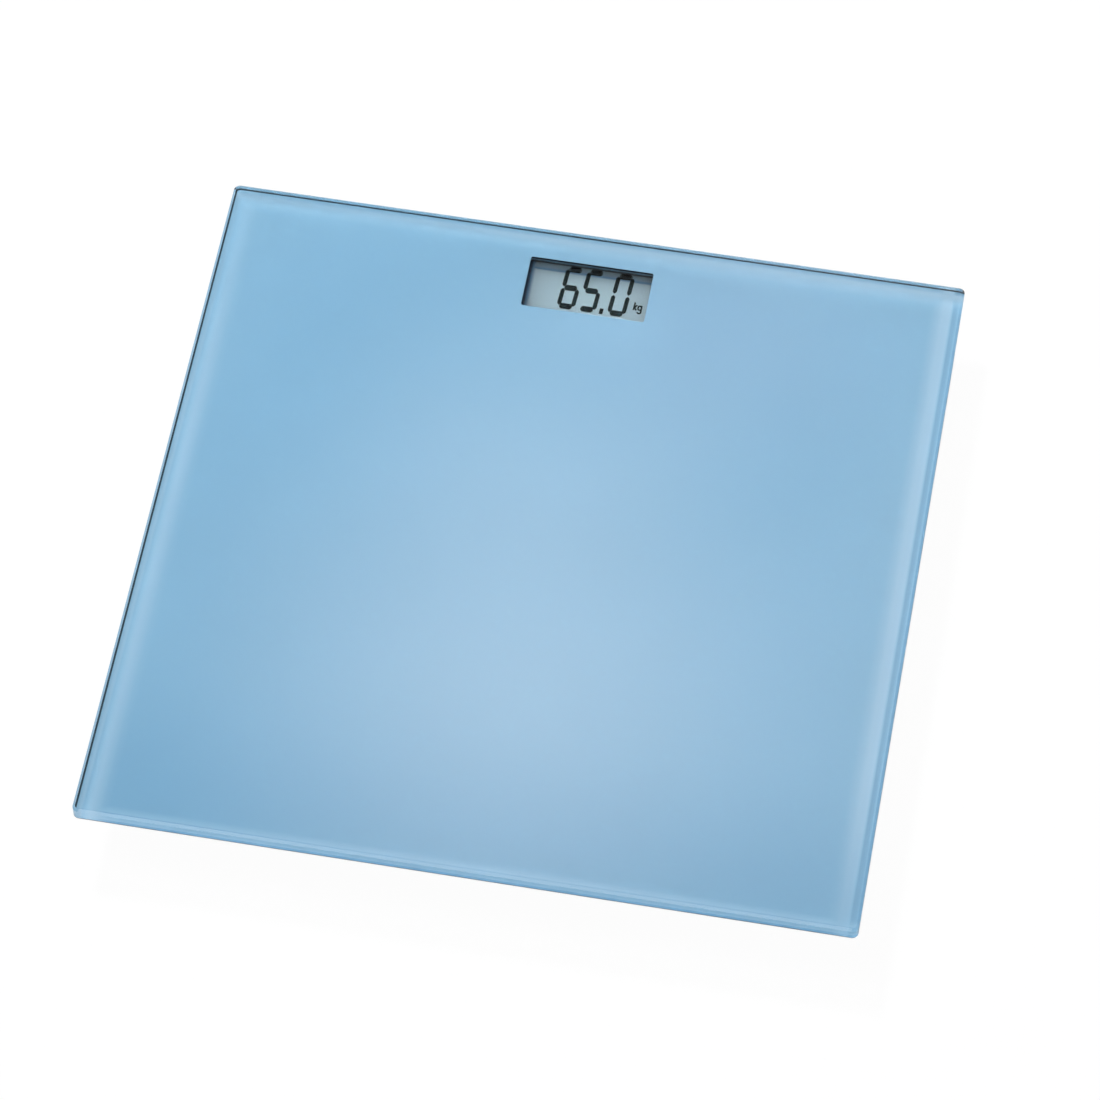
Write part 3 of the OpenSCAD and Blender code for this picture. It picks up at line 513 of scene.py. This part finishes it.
def figures_look():
    """Switched liquid crystal: nearly black, blue-green."""
    mat, tree, shader, _ = new_material("lcd_figures")
    grain = noise(tree, 4000.0, 2.0)
    base = ramp(tree, grain, [(0.3, (0.003, 0.011, 0.014)), (0.7, (0.006, 0.016, 0.020))])
    tree.links.new(base, shader.inputs["Base Color"])
    tree.links.new(remap(tree, grain, 0.45, 0.6), shader.inputs["Roughness"])
    shader.inputs["Specular IOR Level"].default_value = 0.0
    return mat


def board_look():
    """Green solder mask with slightly raised tracks under it."""
    mat, tree, shader, _ = new_material("solder_mask")
    brick = tree.nodes.new("ShaderNodeTexBrick")
    brick.inputs["Scale"].default_value = 260.0
    brick.inputs["Mortar Size"].default_value = 0.06
    brick.inputs["Color1"].default_value = (0.0, 0.0, 0.0, 1.0)
    brick.inputs["Color2"].default_value = (0.15, 0.15, 0.15, 1.0)
    brick.inputs["Mortar"].default_value = (1.0, 1.0, 1.0, 1.0)
    tree.links.new(object_coords(tree), brick.inputs["Vector"])
    tracks = calc(tree, "MULTIPLY", brick.outputs["Color"], 0.7)
    base = mix_colour(tree, tracks, (0.012, 0.105, 0.045), (0.035, 0.210, 0.085))
    tree.links.new(base, shader.inputs["Base Color"])
    tree.links.new(remap(tree, noise(tree, 500.0, 3.0), 0.25, 0.4), shader.inputs["Roughness"])
    add_bump(tree, shader, [(tracks, 0.4)], 0.05 * MM)
    return mat


# ---------------------------------------------------------------- mesh helpers

def mesh_object(name, mesh, mat, body):
    """Links a finished mesh as a piece that rides a body."""
    obj = bpy.data.objects.new(name, mesh)
    bpy.context.scene.collection.objects.link(obj)
    mesh.materials.append(mat)
    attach(obj, body)
    return obj


def rounded_outline(half_x, half_y, radius, steps=10):
    """Points of a rounded rectangle, anticlockwise, centred on the origin."""
    points = []
    for k, (sx, sy) in enumerate(((1, 1), (-1, 1), (-1, -1), (1, -1))):
        for i in range(steps + 1):
            a = math.radians(90 * k + 90 * i / steps)
            points.append((
                sx * (half_x - radius) + radius * math.cos(a),
                sy * (half_y - radius) + radius * math.sin(a),
            ))
    return points


def ring_strip(name, loops):
    """Closed band of quads through loops of equal length; each loop is a list of 3-D points."""
    verts = [p for loop in loops for p in loop]
    n = len(loops[0])
    faces = []
    for k in range(len(loops)):
        nxt = (k + 1) % len(loops)
        for i in range(n):
            j = (i + 1) % n
            faces.append((k * n + i, k * n + j, nxt * n + j, nxt * n + i))
    mesh = bpy.data.meshes.new(name)
    mesh.from_pydata(verts, [], faces)
    bm = bmesh.new()
    bm.from_mesh(mesh)
    bmesh.ops.recalc_face_normals(bm, faces=bm.faces)
    bm.to_mesh(mesh)
    bm.free()
    return mesh


# ---------------------------------------------------------------- pieces

def make_film(mat):
    """The ink layer as a thin sheet that wets the glass, so its top lies just inside it."""
    top = film_high.z + SKIN
    bottom = film_low.z + SKIN
    half_window = (window_high - window_low) / 2
    outer = rounded_outline(film_high.x, film_high.y, FILM_CORNER)
    inner = [
        (x + window_centre.x, y + window_centre.y)
        for x, y in rounded_outline(half_window.x, half_window.y, WINDOW_CORNER)
    ]
    loops = [
        [(x, y, z) for x, y in ring]
        for ring, z in ((inner, top), (outer, top), (outer, bottom), (inner, bottom))
    ]
    mesh = ring_strip("colour_film_sheet", loops)
    film = mesh_object("colour_film_sheet", mesh, mat, "platform")
    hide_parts("colour_film")


def make_rim_painted_shade(mat):
    """Painted shade on the lower ground rim: a dark strip half inside and half outside the glass."""
    arris = half_side - film_high.x

    def loop(inset, z):
        """Outline of the plate, drawn in by inset, at height z."""
        half = half_side - inset
        return [(x, y, z) for x, y in rounded_outline(half, half, FILM_CORNER + arris - inset)]

    loops = [
        loop(arris, plate_low.z + SKIN),
        loop(SKIN, plate_low.z + arris + SKIN),
        loop(SKIN / 4, plate_low.z + arris - SKIN),
        loop(arris - SKIN, plate_low.z - SKIN),
    ]
    mesh = ring_strip("lower_rim_painted_shade", loops)
    mesh_object("lower_rim_painted_shade", mesh, mat, "platform")


def dress(node, mat, bevel=0.0):
    """Puts a material on a CAD node and, where asked, softens its edges."""
    obj = NODES[node]
    obj.data.materials.clear()
    obj.data.materials.append(mat)
    if bevel:
        mod = obj.modifiers.new("soft_edges", "BEVEL")
        mod.width = bevel
        mod.segments = 2
        mod.limit_method = "ANGLE"
        mod.angle_limit = math.radians(SHARP_ANGLE)
        mod.harden_normals = True


def dress_corner(part, mat, bevel=0.0):
    """The same for a part that stands at each corner of the plate."""
    for corner in CORNERS:
        dress(f"{part}_{corner}", mat, bevel)


def dress_all():
    """Materials of every CAD node but the film, which a finer piece replaces."""
    pale = moulded("pale_plastic", (0.42, 0.44, 0.47))
    grey = moulded("grey_plastic", (0.21, 0.24, 0.27), 0.5)
    dark = moulded("dark_plastic", (0.020, 0.032, 0.038), 0.5, spread=0.12)
    blue_grey = moulded("button_plastic", (0.14, 0.20, 0.25), 0.42)
    tape = foam("foam_tape", (0.045, 0.048, 0.052))
    white_tape = foam("white_tape", (0.75, 0.76, 0.74))
    steel = brushed("rolled_steel", (0.56, 0.57, 0.59))
    bright = brushed("bright_steel", (0.68, 0.68, 0.67), 0.22, tarnish=0.08)
    plated = brushed("plated_contact", (0.74, 0.62, 0.40), 0.25)
    solder = brushed("solder_metal", (0.70, 0.71, 0.72), 0.3, (3, 3, 3), 0.2)

    dress("glass_platform", clear_glass())
    dress("lcd_bezel", well_look())
    dress("lcd_polarizer", thin_pane("lcd_polarizer_film", (0.10, 0.12, 0.12), 0.04, 0.12))
    pane = thin_pane("lcd_pane", (0.10, 0.13, 0.13), 0.01, 0.05)
    dress("lcd_front_glass", pane)
    dress("lcd_segments", figures_look())
    dress("lcd_seal", moulded("lcd_seal_epoxy", (0.10, 0.11, 0.12), 0.4))
    dress("lcd_rear_glass", lcd_ground_look())
    dress("lcd_reflector", brushed("reflector_foil", (0.72, 0.74, 0.75), 0.35))
    dress("lcd_tape", white_tape)
    dress("zebra_connector", rubber("zebra_elastomer", (0.17, 0.17, 0.18), 0.6, 0.02))
    dress("module_housing", pale, 0.3 * MM)
    dress("module_gasket", tape)
    dress("circuit_board", board_look())
    dress("board_screws", bright)
    dress("controller_blob", moulded("chip_potting", (0.012, 0.012, 0.014), 0.3))
    dress("board_capacitors", moulded("chip_ceramic", (0.36, 0.24, 0.13), 0.4))
    dress("board_resistors", moulded("chip_resistor", (0.02, 0.02, 0.022), 0.35))
    dress("solder_joints", solder)
    dress("tact_switch", dark)
    dress("switch_plunger", dark)
    dress("unit_button", blue_grey, 0.2 * MM)
    dress("battery_cell", bright)
    dress("battery_contact_minus", plated)
    dress("battery_contact_plus", plated)
    dress("battery_door", pale, 0.2 * MM)
    dress_corner("foot_shell", pale, 0.35 * MM)
    dress_corner("load_cell", steel)
    dress_corner("strain_gauge", rubber("gauge_coat", (0.78, 0.78, 0.74), 0.5, 0.03))
    dress_corner("foot_cap", grey, 0.3 * MM)
    dress_corner("foot_pad", rubber("pad_rubber", (0.035, 0.038, 0.042)), 0.25 * MM)
    dress_corner("wire_duct", pale, 0.25 * MM)
    dress_corner("sensor_wires", moulded("wire_insulation", (0.42, 0.02, 0.015), 0.35))
    dress("foot_tapes", tape)
    dress("duct_tapes", tape)


# ---------------------------------------------------------------- stage

# Camera, floor and key lamp: the lens and sensor are in millimetres, the lamp's power in watts
CAMERA_AT = (0.20574, -1.12016, 1.76158)
CAMERA_AIM = (0.00749, -0.00324, 0.022)
CAMERA_LENS = 174.63
CAMERA_SENSOR = 36.0
CAMERA_NEAR = 0.05
CAMERA_FAR = 60.0
FLOOR_HALF = 12.0
KEY_FROM = (-2.05, 3.44, 2.64)
KEY_SIZE = 0.6
KEY_POWER = 282.0
# Light of the even sky, what the horizon adds to it, and the height where that ends, as a sine
SKY = 0.20
HORIZON = 0.35
HORIZON_HEIGHT = 0.35
# Soft bright patches of the sky: (point that mirrors the patch into the main view, strength,
# radius in degrees)
MIRRORED_PATCHES = [
    ((-0.001, -0.070, 0.022), 3.3, 4.4),
    ((0.200, -0.030, 0.022), 1.6, 7.8),
]
# One more over the front, with its own direction in place of the point
FRONT_PATCH = ((-0.0955, -0.836, 0.537), 3.4, 14.0)
# Tone of the sky where the patches outshine it
WARM = (1.0, 0.85, 0.74)
# Dark flag that the display's window mirrors: the share of the sky that it hides, and its
# radius in degrees
FLAG_DEPTH = 0.85
FLAG_RADIUS = 2.2
# Light that the camera sees past the floor and on it, and the share of real shading in the latter
BACKDROP = 1.0
FLOOR_LIGHT = 1.02
SHADOW_DEPTH = 0.05


def make_camera():
    """Camera at the photograph's viewing angle."""
    data = bpy.data.cameras.new("camera")
    data.lens = CAMERA_LENS
    data.sensor_width = CAMERA_SENSOR
    data.clip_start = CAMERA_NEAR
    data.clip_end = CAMERA_FAR
    cam = bpy.data.objects.new("camera", data)
    bpy.context.scene.collection.objects.link(cam)
    cam.location = CAMERA_AT
    look = Vector(CAMERA_AIM) - Vector(CAMERA_AT)
    cam.rotation_mode = "QUATERNION"
    cam.rotation_quaternion = look.to_track_quat("-Z", "Y")
    bpy.context.scene.camera = cam


def make_floor():
    """Plain pale floor; the camera sees it lit evenly, with only a faint soft shadow."""
    half = FLOOR_HALF
    corners = [(-half, -half, 0), (half, -half, 0), (half, half, 0), (-half, half, 0)]
    mesh = bpy.data.meshes.new("floor")
    mesh.from_pydata(corners, [], [(0, 1, 2, 3)])
    floor = bpy.data.objects.new("floor", mesh)
    bpy.context.scene.collection.objects.link(floor)
    mat, tree, shader, out = new_material("floor_paper")
    grain = noise(tree, 30.0, 3.0)
    base = ramp(tree, grain, [(0.3, (0.80, 0.80, 0.80)), (0.7, (0.83, 0.83, 0.83))])
    tree.links.new(base, shader.inputs["Base Color"])
    shader.inputs["Roughness"].default_value = 0.9
    shader.inputs["Specular IOR Level"].default_value = 0.0
    lit = tree.nodes.new("ShaderNodeEmission")
    lit.inputs["Color"].default_value = (1.0, 1.0, 1.0, 1.0)
    lit.inputs["Strength"].default_value = FLOOR_LIGHT
    path = tree.nodes.new("ShaderNodeLightPath")
    evenness = calc(tree, "MULTIPLY", path.outputs["Is Camera Ray"], 1 - SHADOW_DEPTH)
    both = tree.nodes.new("ShaderNodeMixShader")
    tree.links.new(evenness, both.inputs["Fac"])
    tree.links.new(shader.outputs["BSDF"], both.inputs[1])
    tree.links.new(lit.outputs["Emission"], both.inputs[2])
    tree.links.new(both.outputs["Shader"], out.inputs["Surface"])
    mesh.materials.append(mat)


def make_key():
    """Soft square lamp behind the display edge, on the left, aimed at the origin."""
    data = bpy.data.lights.new("key", "AREA")
    data.shape = "SQUARE"
    data.size = KEY_SIZE
    data.energy = KEY_POWER
    key = bpy.data.objects.new("key", data)
    bpy.context.scene.collection.objects.link(key)
    key.location = KEY_FROM
    key.rotation_mode = "QUATERNION"
    key.rotation_quaternion = (-Vector(KEY_FROM)).to_track_quat("-Z", "Y")


def mirrored(place):
    """Direction of the sky that a level mirror at place shows in the main view."""
    incoming = (Vector(place) - Vector(CAMERA_AT)).normalized()
    return (incoming.x, incoming.y, -incoming.z)


def soft_patch(tree, direction, towards, strength, radius):
    """Strength of a soft round patch of the sky in the direction towards; radius in degrees."""
    dot = tree.nodes.new("ShaderNodeVectorMath")
    dot.operation = "DOT_PRODUCT"
    dot.inputs[1].default_value = towards
    tree.links.new(direction, dot.inputs[0])
    angle = calc(tree, "ARCCOSINE", calc(tree, "MINIMUM", dot.outputs["Value"], 1.0))
    return remap(tree, angle, strength, 0.0, True, 0.0, math.radians(radius))


def make_sky():
    """Even surroundings, brighter at the horizon, with soft bright patches and one dark flag
    that the glass mirrors."""
    world = bpy.data.worlds.new("studio")
    bpy.context.scene.world = world
    world.use_nodes = True
    tree = world.node_tree
    tree.nodes.clear()
    out = tree.nodes.new("ShaderNodeOutputWorld")
    room = tree.nodes.new("ShaderNodeBackground")
    backdrop = tree.nodes.new("ShaderNodeBackground")
    backdrop.inputs["Color"].default_value = (1.0, 1.0, 1.0, 1.0)
    backdrop.inputs["Strength"].default_value = BACKDROP
    coords = tree.nodes.new("ShaderNodeTexCoord")
    direction = coords.outputs["Generated"]
    split = tree.nodes.new("ShaderNodeSeparateXYZ")
    tree.links.new(direction, split.inputs["Vector"])
    level = 0.0
    patches = [(mirrored(place), strength, radius) for place, strength, radius in MIRRORED_PATCHES]
    for patch in patches + [FRONT_PATCH]:
        level = calc(tree, "ADD", soft_patch(tree, direction, *patch), level)
    warmth = calc(tree, "DIVIDE", level, calc(tree, "ADD", level, SKY))
    tree.links.new(mix_colour(tree, warmth, (1.0, 1.0, 1.0), WARM), room.inputs["Color"])
    horizon = remap(tree, split.outputs["Z"], HORIZON, 0.0, True, 0.0, HORIZON_HEIGHT)
    base = calc(tree, "ADD", horizon, SKY)
    over_window = mirrored((window_centre.x, window_centre.y, plate_high.z))
    flag = soft_patch(tree, direction, over_window, FLAG_DEPTH, FLAG_RADIUS)
    shown = calc(tree, "SUBTRACT", 1.0, flag)
    strength = calc(tree, "MULTIPLY", calc(tree, "ADD", level, base), shown)
    tree.links.new(strength, room.inputs["Strength"])
    path = tree.nodes.new("ShaderNodeLightPath")
    either = tree.nodes.new("ShaderNodeMixShader")
    tree.links.new(path.outputs["Is Camera Ray"], either.inputs["Fac"])
    tree.links.new(room.outputs["Background"], either.inputs[1])
    tree.links.new(backdrop.outputs["Background"], either.inputs[2])
    tree.links.new(either.outputs["Shader"], out.inputs["Surface"])


bpy.context.scene.view_settings.view_transform = "Standard"
make_camera()
make_floor()
make_key()
make_sky()
dress_all()
make_film(printed_ink())
make_rim_painted_shade(rim_shade_look())
